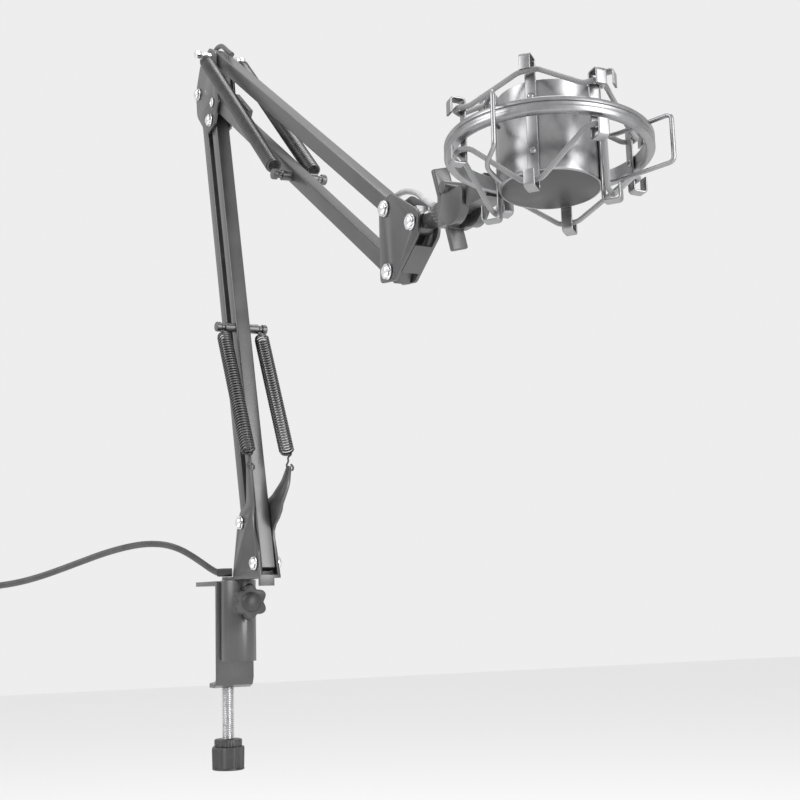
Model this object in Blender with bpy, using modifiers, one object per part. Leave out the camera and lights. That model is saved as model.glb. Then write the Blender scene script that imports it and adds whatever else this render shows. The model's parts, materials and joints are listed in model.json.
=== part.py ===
"""Desk-clamped microphone boom arm with a spider shock mount.

Frame: metres, +Z up, +X the way the arm reaches, +Y the arm's far side.
The origin is on the underside of the clamp's upper jaw, on the clamp screw's axis.
"""
import math

import bmesh
import bpy
from mathutils import Matrix, Vector

MM = 0.001
GAP = 0.3 * MM                      # clearance between neighbouring pieces

# Clamp
STRIP_WIDTH = 30 * MM
STRIP_THICK = 3.5 * MM
JAW_TIP_X = -31 * MM
PLATE_X = 13.5 * MM                 # inner face of the upright part of the strip
THROAT_HEIGHT = 74.5 * MM
LOWER_JAW_RADIUS = 15 * MM
TUBE_X = 24 * MM
TUBE_RADIUS = 13.5 * MM
TUBE_BOTTOM_Z = -57.5 * MM
POST_RADIUS = 5.5 * MM
BORE_RADIUS = 5.8 * MM
SCREW_RADIUS = 4.9 * MM
SCREW_TOP_Z = -66 * MM
KNOB_TOP_Z = -117.5 * MM
KNOB_STEP_Z = -123.3 * MM
KNOB_BOTTOM_Z = -140.8 * MM
LOCK_Z = -13 * MM

# Base bracket and lower arm
WEB_BOTTOM_Z = STRIP_THICK + 2 * GAP
WEB_THICK = 2.3 * MM
BASE_REAR = Vector((52, 0, 46.5)) * MM
BASE_FRONT = Vector((80, 0, 15.2)) * MM
LOWER_LENGTH = 377.3 * MM
LOWER_LEAN = math.radians(13.9)     # backwards from upright
SPRING_Y = 15.5 * MM
SPRING_RADIUS = 5.85 * MM
LOWER_ANCHOR = Vector((93, 0, 85)) * MM
CROSSBAR_AT = 190 * MM              # from the bar's lower or rear pivot
CROSSBAR_HALF = 21 * MM

# Elbow and upper arm
ELBOW_TOP_OFFSET = Vector((29.6, 0, 23.2)) * MM      # from the elbow's rear pivot
ELBOW_MIDDLE_OFFSET = Vector((32.5, 0, -17.3)) * MM
UPPER_LENGTH = 375.9 * MM
UPPER_FALL = math.radians(33.8)     # below horizontal

# Bars and plates
BAR_DEPTH = 10.6 * MM
BAR_WIDTH = 11.4 * MM
BAR_WALL = 1 * MM
PLATE_INNER_Y = 6 * MM
PLATE_THICK = 2 * MM
BOLT_RADIUS = 2.5 * MM
BOLT_HOLE = 2.9 * MM
BOLT_HEAD_RADIUS = 4.6 * MM
BOLT_HEAD_HEIGHT = 3.8 * MM

# Head, rod and swivel
TILT_AXIS = Vector((338, 0, 210)) * MM
ROD_RADIUS = 5.8 * MM
SWIVEL = Vector((388, 0, 210)) * MM
SWIVEL_RADIUS = 13.5 * MM
SWIVEL_TOP = 6.2 * MM               # above its tilt axis
SWIVEL_BACK = -15.6 * MM            # behind its tilt axis
EAR_HALF_WIDTH = 9.5 * MM
SLOT_HALF_WIDTH = 4 * MM
DISC_RADIUS = 6.4 * MM
T_HANDLE_X = 368.6 * MM
T_HANDLE_THICK = 3.5 * MM
T_HANDLE_LEAN = math.radians(14)    # its top leans to the near side
STUD_RADIUS = 3 * MM
STUD_BORE = 3.3 * MM

# Shock mount
RING_CENTRE = Vector((478.4, -1.5, 216.3)) * MM
RING_PITCH = math.radians(-6.3)     # about Y: the ring's front stands higher
RING_ROLL = math.radians(-3.8)      # about X
RING_RADIUS = 54.2 * MM
RING_WALL = 5 * MM
RING_LOW_Z = -6 * MM
RING_HIGH_Z = 2 * MM
SLEEVE_RADIUS = 26.7 * MM
SLEEVE_WALL = 1.2 * MM
SLEEVE_LOW_Z = -24 * MM
SLEEVE_HIGH_Z = 25 * MM
STRIP_A_ANGLE = -50                 # degrees, first inner strip in the ring's plane
HOOK_STRIP_WIDTH = 6 * MM
HOOK_STRIP_THICK = 1.2 * MM
HOOK_LIP = 8.5 * MM
HOOK_CORNER = 1.8 * MM
HANDLE_WIRE = 1.2 * MM
ELASTIC_RADIUS = 1.4 * MM

# Microphone lead
CORD_RADIUS = 2.5 * MM
CORD_LEFT = Vector((-0.46, -0.888, 0)).normalized()  # the way the lead runs off
CORD_AWAY = Vector((-0.888, 0.46, 0)).normalized()
CORD_EXIT = Vector((21.8, -15.8, 9.9)) * MM
COIL_RADIUS = 27.5 * MM
COIL_BUNDLE = 15 * MM
COIL_AT = 245 * MM

SIDES = 20
HOLE_SIDES = 12

BLACK_STEEL = ("black_steel", (0.035, 0.035, 0.037), 0.38, 0.6)
CHROME = ("chrome", (0.82, 0.82, 0.83), 0.14, 1.0)
ZINC = ("zinc", (0.62, 0.62, 0.63), 0.3, 1.0)
BLACK_PLASTIC = ("black_plastic", (0.05, 0.05, 0.052), 0.5, 0.0)
SPRING_STEEL = ("spring_steel", (0.09, 0.09, 0.095), 0.35, 0.9)
GUNMETAL = ("gunmetal", (0.30, 0.30, 0.31), 0.28, 1.0)
ELASTIC = ("elastic", (0.045, 0.045, 0.047), 0.7, 0.0)
CABLE = ("cable", (0.03, 0.03, 0.032), 0.45, 0.0)


def clear_scene():
    for obj in list(bpy.data.objects):
        bpy.data.objects.remove(obj, do_unlink=True)


def make_collection(name):
    collection = bpy.data.collections.new(name)
    bpy.context.scene.collection.children.link(collection)
    return collection


def make_material(recipe):
    name, colour, roughness, metallic = recipe
    found = bpy.data.materials.get(name)
    if found:
        return found
    material = bpy.data.materials.new(name)
    material.use_nodes = True
    shader = material.node_tree.nodes["Principled BSDF"]
    shader.inputs["Base Color"].default_value = (*colour, 1)
    shader.inputs["Roughness"].default_value = roughness
    shader.inputs["Metallic"].default_value = metallic
    return material


def frame_at(name, location, parent=None, turn=(0, 0, 0)):
    """An empty that pieces are placed against."""
    empty = bpy.data.objects.new(name, None)
    empty.empty_display_size = 0.02
    empty.location = location
    empty.rotation_euler = turn
    empty.parent = parent
    PARTS.objects.link(empty)
    return empty


def place(name, mesh, parent, recipe, location=(0, 0, 0), turn=(0, 0, 0)):
    piece = bpy.data.objects.new(name, mesh)
    piece.location = location
    piece.rotation_euler = turn
    piece.parent = parent
    mesh.materials.append(make_material(recipe))
    PARTS.objects.link(piece)
    return piece


def smooth(mesh):
    mesh.shade_smooth()
    mesh.set_sharp_from_angle(angle=math.radians(35))


def mesh_from(bm, name):
    bmesh.ops.recalc_face_normals(bm, faces=bm.faces)
    mesh = bpy.data.meshes.new(name)
    bm.to_mesh(mesh)
    bm.free()
    return mesh


def box(low, high, name="box"):
    low, high = Vector(low), Vector(high)
    bm = bmesh.new()
    size = high - low
    matrix = Matrix.Translation((low + high) / 2) @ Matrix.Diagonal((*size, 1))
    bmesh.ops.create_cube(bm, size=1, matrix=matrix)
    return mesh_from(bm, name)


def cylinder(radius, start, end, sides=SIDES, end_radius=None, name="cylinder"):
    """A closed cylinder or cone from one point to another."""
    start, end = Vector(start), Vector(end)
    along = end - start
    turn = along.to_track_quat("Z", "Y").to_matrix().to_4x4()
    matrix = Matrix.Translation((start + end) / 2) @ turn
    bm = bmesh.new()
    bmesh.ops.create_cone(bm, cap_ends=True, segments=sides, radius1=radius,
                          radius2=radius if end_radius is None else end_radius,
                          depth=along.length, matrix=matrix)
    return mesh_from(bm, name)


def cutter(mesh, parent):
    piece = bpy.data.objects.new(mesh.name, mesh)
    piece.parent = parent
    piece.hide_render = True
    piece.display_type = "WIRE"
    CUTTERS.objects.link(piece)
    return piece


def combine(piece, mesh, operation, parent=None):
    """Cut a mesh from a piece, or join it, in the frame of the piece's parent."""
    tool = cutter(mesh, parent if parent else piece.parent)
    modifier = piece.modifiers.new(operation.lower(), "BOOLEAN")
    modifier.operation = operation
    modifier.solver = "EXACT"
    modifier.object = tool


def cut(piece, mesh, parent=None):
    combine(piece, mesh, "DIFFERENCE", parent)


def join(piece, mesh, parent=None):
    combine(piece, mesh, "UNION", parent)


def bevel(piece, width, segments=1):
    modifier = piece.modifiers.new("bevel", "BEVEL")
    modifier.width = width
    modifier.segments = segments
    modifier.limit_method = "ANGLE"
    modifier.angle_limit = math.radians(40)


def turned(name, profile, parent, recipe, location=(0, 0, 0), turn=(0, 0, 0), sides=SIDES):
    """A turned solid about local Z; the profile runs from its top to its bottom."""
    bm = bmesh.new()
    points = [bm.verts.new((radius, 0, height)) for radius, height in profile]
    for upper, lower in zip(points, points[1:]):
        bm.edges.new((upper, lower))
    mesh = bpy.data.meshes.new(name)
    bm.to_mesh(mesh)
    bm.free()
    piece = place(name, mesh, parent, recipe, location, turn)
    screw = piece.modifiers.new("screw", "SCREW")
    screw.axis = "Z"
    screw.steps = sides
    screw.render_steps = sides
    screw.use_merge_vertices = True
    screw.merge_threshold = 0.00005
    screw.use_smooth_shade = True
    return piece


def rounded(corners, steps=2):
    """An outline whose corners, given as x, z and radius, are filleted."""
    outline = []
    count = len(corners)
    for index, (x, z, radius) in enumerate(corners):
        here = Vector((x, z))
        before = Vector(corners[index - 1][:2]) - here
        after = Vector(corners[(index + 1) % count][:2]) - here
        if radius == 0:
            outline.append((x, z))
            continue
        before.normalize()
        after.normalize()
        half = before.angle(after) / 2
        reach = radius / math.tan(half)
        centre = here + (before + after).normalized() * (radius / math.sin(half))
        first = here + before * reach - centre
        last = here + after * reach - centre
        sweep = first.angle_signed(last)
        for step in range(steps + 1):
            turn = Matrix.Rotation(-sweep * step / steps, 2)
            point = centre + turn @ first
            outline.append((point.x, point.y))
    return outline


def sheet(name, outline, inner_y, outer_y, bend_z=None, bend_slope=0.0):
    """A flat plate in the XZ plane that leans outwards above bend_z."""
    bm = bmesh.new()
    face = bm.faces.new([bm.verts.new((x, inner_y, z)) for x, z in outline])
    if bend_z is not None:
        bmesh.ops.bisect_plane(bm, geom=[*bm.verts, *bm.edges, face], dist=1e-6,
                               plane_co=(0, 0, bend_z), plane_no=(0, 0, 1))
    result = bmesh.ops.extrude_face_region(bm, geom=list(bm.faces))
    moved = [item for item in result["geom"] if isinstance(item, bmesh.types.BMVert)]
    bmesh.ops.translate(bm, verts=moved, vec=(0, outer_y - inner_y, 0))
    side = 1 if outer_y > inner_y else -1
    if bend_z is not None:
        for vert in bm.verts:
            vert.co.y += side * bend_slope * max(0.0, vert.co.z - bend_z)
    return mesh_from(bm, name)


def wire(name, points, radius, parent, recipe, cyclic=False, resolution=2):
    curve = bpy.data.curves.new(name, "CURVE")
    curve.dimensions = "3D"
    curve.bevel_depth = radius
    curve.bevel_resolution = resolution
    curve.use_fill_caps = True
    spline = curve.splines.new("POLY")
    spline.points.add(len(points) - 1)
    for item, point in zip(spline.points, points):
        item.co = (*point, 1)
    spline.use_cyclic_u = cyclic
    curve.materials.append(make_material(recipe))
    piece = bpy.data.objects.new(name, curve)
    piece.parent = parent
    PARTS.objects.link(piece)
    return piece


def smooth_route(knots, spacing):
    """Evenly spaced points on a Catmull-Rom curve through the knots."""
    knots = [Vector(knot) for knot in knots]
    padded = [2 * knots[0] - knots[1], *knots, 2 * knots[-1] - knots[-2]]
    dense = []
    for a, b, c, d in zip(padded, padded[1:], padded[2:], padded[3:]):
        for step in range(24):
            t = step / 24
            dense.append(0.5 * (2 * b + (c - a) * t + (2 * a - 5 * b + 4 * c - d) * t * t
                                + (3 * b - a - 3 * c + d) * t ** 3))
    dense.append(knots[-1])
    points = [dense[0]]
    walked = 0.0
    for before, after in zip(dense, dense[1:]):
        walked += (after - before).length
        if walked >= spacing:
            points.append(after)
            walked = 0.0
    if (points[-1] - dense[-1]).length < spacing / 3:
        points.pop()
    points.append(dense[-1])
    return points


def bolt(name, parent, near_y, far_y, location=(0, 0, 0)):
    """A pivot bolt along Y with a domed head and a domed cap nut."""
    far, near = far_y + GAP, near_y - GAP
    head = BOLT_HEAD_HEIGHT
    radius = BOLT_HEAD_RADIUS
    profile = [(0, far + head), (0.5 * radius, far + 0.92 * head), (0.85 * radius, far + 0.6 * head),
               (radius, far + 0.25 * head), (radius, far), (BOLT_RADIUS, far), (BOLT_RADIUS, near),
               (radius, near), (radius, near - 0.25 * head), (0.85 * radius, near - 0.6 * head),
               (0.5 * radius, near - 0.92 * head), (0, near - head)]
    return turned(name, profile, parent, CHROME, location, (-math.pi / 2, 0, 0), 14)


def build_clamp():
    frame = frame_at("clamp_frame", (0, 0, 0))
    half = STRIP_WIDTH / 2
    outer = PLATE_X + STRIP_THICK
    low = -THROAT_HEIGHT
    outline = rounded([(JAW_TIP_X, 0, 0), (PLATE_X, 0, 2 * MM), (PLATE_X, low, 4 * MM),
                       (-LOWER_JAW_RADIUS, low, 0), (-LOWER_JAW_RADIUS, low - STRIP_THICK, 0),
                       (outer, low - STRIP_THICK, 4 * MM + STRIP_THICK),
                       (outer, STRIP_THICK, 1 * MM), (JAW_TIP_X, STRIP_THICK, 0)])
    bracket = place("clamp_bracket", sheet("clamp_bracket", outline, -half, half), frame, BLACK_STEEL)
    for side in (-1, 1):
        corner = box((-LOWER_JAW_RADIUS - MM, side * half, low - 10 * MM),
                     (0, side * (half + 5 * MM), low + 10 * MM))
        bm = bmesh.new()
        bm.from_mesh(corner)
        for vert in bm.verts:
            if vert.co.x < -LOWER_JAW_RADIUS:
                vert.co.y -= side * (half * 0.62 if abs(vert.co.y) < half + MM else 0)
        cut(bracket, mesh_from(bm, "corner_cutter"))
    cut(bracket, cylinder(SCREW_RADIUS + GAP, (0, 0, low - 10 * MM), (0, 0, low + 5 * MM)))

    tube = turned("clamp_tube", [(BORE_RADIUS, STRIP_THICK + GAP), (TUBE_RADIUS, STRIP_THICK + GAP),
                                 (TUBE_RADIUS, TUBE_BOTTOM_Z), (BORE_RADIUS, TUBE_BOTTOM_Z),
                                 (BORE_RADIUS, STRIP_THICK + GAP)],
                  frame, BLACK_STEEL, (TUBE_X, 0, 0))
    flat_x = outer + GAP
    cut(tube, box((-40 * MM, -20 * MM, -80 * MM), (flat_x, 20 * MM, 20 * MM)))
    cut(tube, cylinder(3 * MM, (TUBE_X, 0, LOCK_Z), (TUBE_X + 30 * MM, 0, LOCK_Z), HOLE_SIDES))


def build_clamp_screw():
    frame = frame_at("screw_axis", (0, 0, 0))
    top = SCREW_TOP_Z
    turned("clamp_pad", [(0, top + 4 * MM), (5.8 * MM, top + 4 * MM), (6.6 * MM, top + 3 * MM),
                         (6.6 * MM, top + GAP), (0, top + GAP)], frame, ZINC)
    turned("clamp_spindle", [(0, top), (4 * MM, top), (SCREW_RADIUS, top - 1 * MM),
                             (SCREW_RADIUS, KNOB_TOP_Z + GAP), (0, KNOB_TOP_Z + GAP)], frame, ZINC)
    collar, body = 11 * MM, 11.6 * MM
    step = KNOB_STEP_Z
    knob = turned("clamp_knob", [(0, KNOB_TOP_Z), (collar - 1 * MM, KNOB_TOP_Z),
                                 (collar, KNOB_TOP_Z - 1 * MM), (collar, step), (body, step),
                                 (body, KNOB_BOTTOM_Z + 1 * MM), (body - 1.5 * MM, KNOB_BOTTOM_Z),
                                 (0, KNOB_BOTTOM_Z)], frame, BLACK_PLASTIC, sides=24)
    for index in range(8):
        angle = math.tau * index / 8
        rib = cylinder(2.2 * MM, (11.2 * MM * math.cos(angle), 11.2 * MM * math.sin(angle), step),
                       (10.6 * MM * math.cos(angle), 10.6 * MM * math.sin(angle), KNOB_BOTTOM_Z + 1 * MM), 6)
        join(knob, rib)


def build_lock_knob():
    frame = frame_at("lock_axis", (TUBE_X, 0, LOCK_Z), turn=(0, math.pi / 2, 0))
    stem = 2.6 * MM
    back, front, dome = 20 * MM, 27 * MM, 30.6 * MM
    radius = 10.6 * MM
    knob = turned("lock_knob", [(0, dome), (4 * MM, dome - 0.5 * MM), (6.5 * MM, dome - 1.8 * MM),
                                (7.4 * MM, front), (radius, front), (radius + 0.8 * MM, front - 1.5 * MM),
                                (radius + 0.8 * MM, back + 1 * MM), (radius, back), (4.5 * MM, back),
                                (4.5 * MM, back - 3 * MM), (stem, back - 3 * MM),
                                (stem, 7.5 * MM), (0, 7.5 * MM)], frame, BLACK_PLASTIC)
    for index in range(6):
        angle = math.tau * index / 6
        x, y = 9.8 * MM * math.cos(angle), 9.8 * MM * math.sin(angle)
        join(knob, cylinder(4.4 * MM, (x, y, back), (x, y, front), 12))


def build_base():
    frame = frame_at("base_axis", (TUBE_X, 0, 0))
    shift = -TUBE_X / MM
    top = WEB_BOTTOM_Z + WEB_THICK
    bottom = (WEB_BOTTOM_Z + 0.4 * WEB_THICK) / MM

    near = [(33, bottom, 0), (44, 46, 6), (50, 55, 6), (64, 60, 14), (84, 88, 2), (88, 86, 2),
            (76, 58, 14), (74, 44, 20), (86, 24, 8), (90, bottom, 0)]
    far = [(33, bottom, 0), (44, 46, 6), (52, 57, 6), (74, 66, 14), (86, 76, 6), (90, 87, 2), (95, 86, 2),
           (101, 72, 10), (96, 52, 20), (78, 40, 8), (84, 24, 10), (90, bottom, 0)]

    def plate(points, side):
        outline = rounded([((x + shift) * MM, z * MM, r * MM) for x, z, r in points])
        return sheet("base_plate", outline, side * PLATE_INNER_Y, side * (PLATE_INNER_Y + PLATE_THICK),
                     58 * MM, 0.27)

    outer_y = PLATE_INNER_Y + PLATE_THICK
    bracket = place("base_bracket",
                    box((9 * MM, -outer_y, WEB_BOTTOM_Z), ((90 + shift) * MM, outer_y, top)),
                    frame, BLACK_STEEL)
    join(bracket, plate(near, -1))
    join(bracket, plate(far, 1))
    join(bracket, cylinder(12.5 * MM, (0, 0, WEB_BOTTOM_Z), (0, 0, top)))
    lip_x = (90 + shift) * MM
    join(bracket, box((lip_x - 4 * MM, -outer_y, -1.5 * MM), (lip_x, 3 * MM, top)))
    for point in (BASE_REAR, BASE_FRONT):
        x = point.x - TUBE_X
        cut(bracket, cylinder(BOLT_HOLE, (x, -12 * MM, point.z), (x, 12 * MM, point.z), HOLE_SIDES))

    turned("base_post", [(0, WEB_BOTTOM_Z - GAP), (POST_RADIUS, WEB_BOTTOM_Z - GAP),
                         (POST_RADIUS, -48 * MM), (POST_RADIUS - 1 * MM, -50 * MM), (0, -50 * MM)],
           frame, ZINC, sides=16)
    bolt("base_rear_bolt", frame, -outer_y, outer_y, BASE_REAR - Vector((TUBE_X, 0, 0)))
    bolt("base_front_bolt", frame, -outer_y, outer_y, BASE_FRONT - Vector((TUBE_X, 0, 0)))
    return frame


def bar(name, parent, length, tail, nose, extra_hole=None):
    """A square tube with closed ends along local Z, with pivot holes at 0 and at its length."""
    half_x, half_y = BAR_DEPTH / 2, BAR_WIDTH / 2
    piece = place(name, box((-half_x, -half_y, -tail), (half_x, half_y, length + nose)), parent, BLACK_STEEL)
    bevel(piece, 0.9 * MM)
    wall = BAR_WALL
    cut(piece, box((-half_x + wall, -half_y + wall, -tail + wall),
                   (half_x - wall, half_y - wall, length + nose - wall)))
    for height in (0, length):
        cut(piece, cylinder(BOLT_HOLE, (0, -10 * MM, height), (0, 10 * MM, height), HOLE_SIDES))
    if extra_hole:
        cut(piece, cylinder(3.9 * MM, (0, -10 * MM, extra_hole), (0, 10 * MM, extra_hole), HOLE_SIDES))
    return piece


def crossbar(name, parent, height):
    half, groove, radius = CROSSBAR_HALF, 2.6 * MM, 3.85 * MM
    profile = [(0, half)]
    profile += [(radius - 0.6 * MM, half), (radius, half - 0.6 * MM)]
    profile += [(radius, SPRING_Y + 1.6 * MM), (groove, SPRING_Y + 1.1 * MM),
                (groove, SPRING_Y - 1.1 * MM), (radius, SPRING_Y - 1.6 * MM), (3.5 * MM, 8 * MM)]
    mirrored = [(r, -z) for r, z in reversed(profile)]
    return turned(name, profile + mirrored, parent, BLACK_STEEL, (0, 0, height),
                  (-math.pi / 2, 0, 0), 14)


def spring(name, parent, bar_point, anchor, y, from_bar, from_anchor, hook):
    """A close-wound spring's outer shape, between a grooved bar and an anchor, in the world."""
    start, end = Vector(bar_point), Vector(anchor)
    start.y = end.y = y
    along = (start - end).normalized()
    length = (start - end).length
    top, bottom = length - from_bar, from_anchor
    profile = [(0, length - hook), (1 * MM, length - hook), (1.2 * MM, top + 2 * MM),
               (SPRING_RADIUS - 1.5 * MM, top), (SPRING_RADIUS, top - 2 * MM),
               (SPRING_RADIUS, bottom + 2 * MM), (SPRING_RADIUS - 1.5 * MM, bottom),
               (1.2 * MM, bottom - 2 * MM), (1 * MM, hook), (0, hook)]
    piece = turned(name, profile, None, SPRING_STEEL, sides=12)
    piece.matrix_world = Matrix.Translation(end) @ along.to_track_quat("Z", "Y").to_matrix().to_4x4()
    return piece


def build_lower_arm():
    frames = {}
    for side, pivot in (("rear", BASE_REAR), ("front", BASE_FRONT)):
        frames[side] = frame_at(f"lower_{side}_axis", pivot, turn=(0, -LOWER_LEAN, 0))
    bar("lower_rear_bar", frames["rear"], LOWER_LENGTH, 4 * MM, 3.5 * MM)
    bar("lower_front_bar", frames["front"], LOWER_LENGTH, 5 * MM, 3.5 * MM, CROSSBAR_AT)
    crossbar("lower_crossbar", frames["front"], CROSSBAR_AT)
    point = BASE_FRONT + CROSSBAR_AT * LOWER_ALONG
    for side, y in (("near", -SPRING_Y), ("far", SPRING_Y)):
        spring(f"lower_spring_{side}", frames["front"], point, LOWER_ANCHOR, y, 7.5 * MM, 12.5 * MM, 4.5 * MM)


def build_elbow():
    frame = frame_at("elbow_frame", ELBOW_REAR)

    def local(point):
        return (point - ELBOW_REAR) / MM

    top, middle, front = local(ELBOW_TOP), local(ELBOW_MIDDLE), local(ELBOW_FRONT)
    corners = [(-8, 4, 5), (-5, -18, 10), (19, -41, 5), (front.x + 8, front.z - 6, 5),
               (middle.x + 13, middle.z - 3, 6), (top.x + 9, top.z + 1, 6), (top.x - 4, top.z + 9, 6),
               (3, 24, 8)]
    outline = rounded([(x * MM, z * MM, r * MM) for x, z, r in corners])
    for name, side in (("elbow_plate_near", -1), ("elbow_plate_far", 1)):
        mesh = sheet(name, outline, side * PLATE_INNER_Y, side * (PLATE_INNER_Y + PLATE_THICK))
        plate = place(name, mesh, frame, BLACK_STEEL)
        for point in (Vector(), top, middle, front):
            x, z = point.x * MM, point.z * MM
            cut(plate, cylinder(BOLT_HOLE, (x, -12 * MM, z), (x, 12 * MM, z), HOLE_SIDES))
    outer_y = PLATE_INNER_Y + PLATE_THICK
    bolt("elbow_rear_bolt", frame, -outer_y, outer_y)
    bolt("elbow_front_bolt", frame, -outer_y, outer_y, front * MM)
    long_end = 10.5 * MM
    turned("elbow_middle_bolt", [(0, long_end), (2 * MM, long_end), (BOLT_RADIUS, long_end - 0.5 * MM),
                                 (BOLT_RADIUS, -outer_y - GAP), (3.9 * MM, -outer_y - GAP),
                                 (3.9 * MM, -outer_y - 1 * MM), (2.6 * MM, -outer_y - 1.3 * MM),
                                 (2 * MM, -outer_y - 0.8 * MM), (0, -outer_y - 0.8 * MM)],
           frame, CHROME, middle * MM, (-math.pi / 2, 0, 0), 14)
    half, groove, radius = CROSSBAR_HALF + 0.8 * MM, 1.8 * MM, BOLT_RADIUS
    head = 3.2 * MM
    side = [(0, half), (head - 0.6 * MM, half), (head, half - 0.6 * MM), (head, SPRING_Y + 1.6 * MM),
            (groove, SPRING_Y + 1 * MM),
            (groove, SPRING_Y - 1 * MM), (radius, SPRING_Y - 1.4 * MM)]
    turned("elbow_pin", side + [(r, -z) for r, z in reversed(side)], frame, CHROME, top * MM,
           (-math.pi / 2, 0, 0), 14)

    knob_frame = frame_at("elbow_knob_axis", ELBOW_MIDDLE, turn=(-math.pi / 2, 0, 0))
    start = long_end + GAP
    knob = turned("elbow_knob", [(0, start + 9 * MM), (4 * MM, start + 9 * MM), (5.5 * MM, start + 6 * MM),
                                 (6 * MM, start), (0, start)], knob_frame, BLACK_PLASTIC, sides=14)
    wing = box((-19.5 * MM, -4 * MM, start + 5.5 * MM), (19.5 * MM, 4 * MM, start + 10 * MM))
    wing.transform(Matrix.Rotation(math.radians(38), 4, "Z"))
    join(knob, wing)


def build_upper_arm():
    turn = (0, math.pi / 2 + UPPER_FALL, 0)
    top_frame = frame_at("upper_top_axis", ELBOW_TOP, turn=turn)
    low_frame = frame_at("upper_lower_axis", ELBOW_MIDDLE, turn=turn)
    bar("upper_top_bar", top_frame, UPPER_LENGTH, 3.5 * MM, 4 * MM)
    bar("upper_lower_bar", low_frame, UPPER_LENGTH, 3.5 * MM, 6 * MM, CROSSBAR_AT)
    crossbar("upper_crossbar", low_frame, CROSSBAR_AT)
    point = ELBOW_MIDDLE + CROSSBAR_AT * UPPER_ALONG
    for side, y in (("near", -SPRING_Y), ("far", SPRING_Y)):
        spring(f"upper_spring_{side}", low_frame, point, ELBOW_TOP, y, 12 * MM, 12 * MM, 4.5 * MM)


def build_head():
    frame = frame_at("head_frame", HEAD_TOP)

    def local(point):
        return (point - HEAD_TOP) / MM

    low, front = local(HEAD_LOW), local(TILT_AXIS)
    corners = [(-9, 6, 4), (-9, low.z - 5, 3), (low.x + 7, low.z - 7, 4), (front.x + 6, front.z - 9, 6),
               (front.x + 9, front.z + 5, 6), (8, 8, 6)]
    outline = rounded([(x * MM, z * MM, r * MM) for x, z, r in reversed(corners)])
    for name, side in (("head_plate_near", -1), ("head_plate_far", 1)):
        mesh = sheet(name, outline, side * PLATE_INNER_Y, side * (PLATE_INNER_Y + PLATE_THICK))
        plate = place(name, mesh, frame, BLACK_STEEL)
        for point in (Vector(), low, front):
            x, z = point.x * MM, point.z * MM
            cut(plate, cylinder(BOLT_HOLE, (x, -12 * MM, z), (x, 12 * MM, z), HOLE_SIDES))
    lower_corner, upper_corner = Vector(corners[2][:2]), Vector(corners[3][:2])
    edge = upper_corner - lower_corner
    web = box((7 * MM, GAP - PLATE_INNER_Y, 0), (29 * MM, PLATE_INNER_Y + 1 * MM, 1.5 * MM))
    web.transform(Matrix.Translation(Vector((lower_corner.x, 0, lower_corner.y)) * MM)
                  @ Matrix.Rotation(-math.atan2(edge.y, edge.x), 4, "Y"))
    join(plate, web)
    outer_y = PLATE_INNER_Y + PLATE_THICK
    bolt("head_top_bolt", frame, -outer_y, outer_y)
    bolt("head_bottom_bolt", frame, -outer_y, outer_y, low * MM)
    bolt("head_front_bolt", frame, -outer_y, outer_y, front * MM)


def build_rod():
    """The microphone rod: an eye on the tilt bolt, a ribbed collar, and a stud for the handle and swivel."""
    frame = frame_at("tilt_frame", TILT_AXIS, turn=(0, math.pi / 2, 0))
    end = T_HANDLE_X - TILT_AXIS.x - 0.4 * MM
    stud_end = SWIVEL.x + SWIVEL_BACK + 2.8 * MM - TILT_AXIS.x
    r = ROD_RADIUS
    rod = turned("mic_rod", [(0, stud_end), (STUD_RADIUS, stud_end), (STUD_RADIUS, end), (6.6 * MM, end),
                             (7.4 * MM, end - 0.8 * MM), (7.4 * MM, end - 8 * MM), (r, end - 9.5 * MM),
                             (r, 12 * MM), (r - 1 * MM, 10 * MM), (0, 10 * MM)], frame, BLACK_STEEL)
    join(rod, box((-4.8 * MM, -4.6 * MM, -4 * MM), (4.8 * MM, 4.6 * MM, 14 * MM)))
    join(rod, cylinder(7 * MM, (0, -5.2 * MM, 0), (0, 5.2 * MM, 0), SIDES))
    cut(rod, cylinder(BOLT_HOLE, (0, -10 * MM, 0), (0, 10 * MM, 0), HOLE_SIDES))


def build_swivel():
    frame = frame_at("swivel_frame", SWIVEL)
    r, ear, top = SWIVEL_RADIUS, EAR_HALF_WIDTH, SWIVEL_TOP
    body = place("swivel_body", cylinder(r, (0, -ear, 0), (0, ear, 0), 28), frame, BLACK_STEEL)
    join(body, box((SWIVEL_BACK, -ear + 0.3 * MM, -r + 1.5 * MM), (0, ear - 0.3 * MM, top)))
    cut(body, box((-30 * MM, -20 * MM, top), (30 * MM, 20 * MM, 30 * MM)))
    slot_back = -12.5 * MM
    cut(body, box((slot_back, -SLOT_HALF_WIDTH, -r - 5 * MM), (r + 5 * MM, SLOT_HALF_WIDTH, r + 8 * MM)))
    barrel_x, barrel_z = -5 * MM, 9.4 * MM
    join(body, cylinder(3.7 * MM, (barrel_x, -ear - 2.5 * MM, barrel_z), (barrel_x, ear - 1 * MM, barrel_z), 14))
    cut(body, cylinder(STUD_BORE, (-30 * MM, 0, 0), (slot_back + 2 * MM, 0, 0), HOLE_SIDES))


def build_t_handle():
    """A flat handle across the rod's axis, on the stud between the collar and the swivel."""
    frame = frame_at("t_handle_axis", (T_HANDLE_X, 0, SWIVEL.z))
    wing = box((0, -5.5 * MM, -24 * MM), (T_HANDLE_THICK, 5.5 * MM, 25 * MM))
    wing.transform(Matrix.Rotation(T_HANDLE_LEAN, 4, "X"))
    handle = place("t_handle", wing, frame, BLACK_STEEL)
    bevel(handle, 1 * MM, 2)
    join(handle, cylinder(8 * MM, (0, 0, 0), (T_HANDLE_THICK, 0, 0), 24))
    cut(handle, cylinder(STUD_BORE, (-5 * MM, 0, 0), (10 * MM, 0, 0), HOLE_SIDES))


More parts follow.
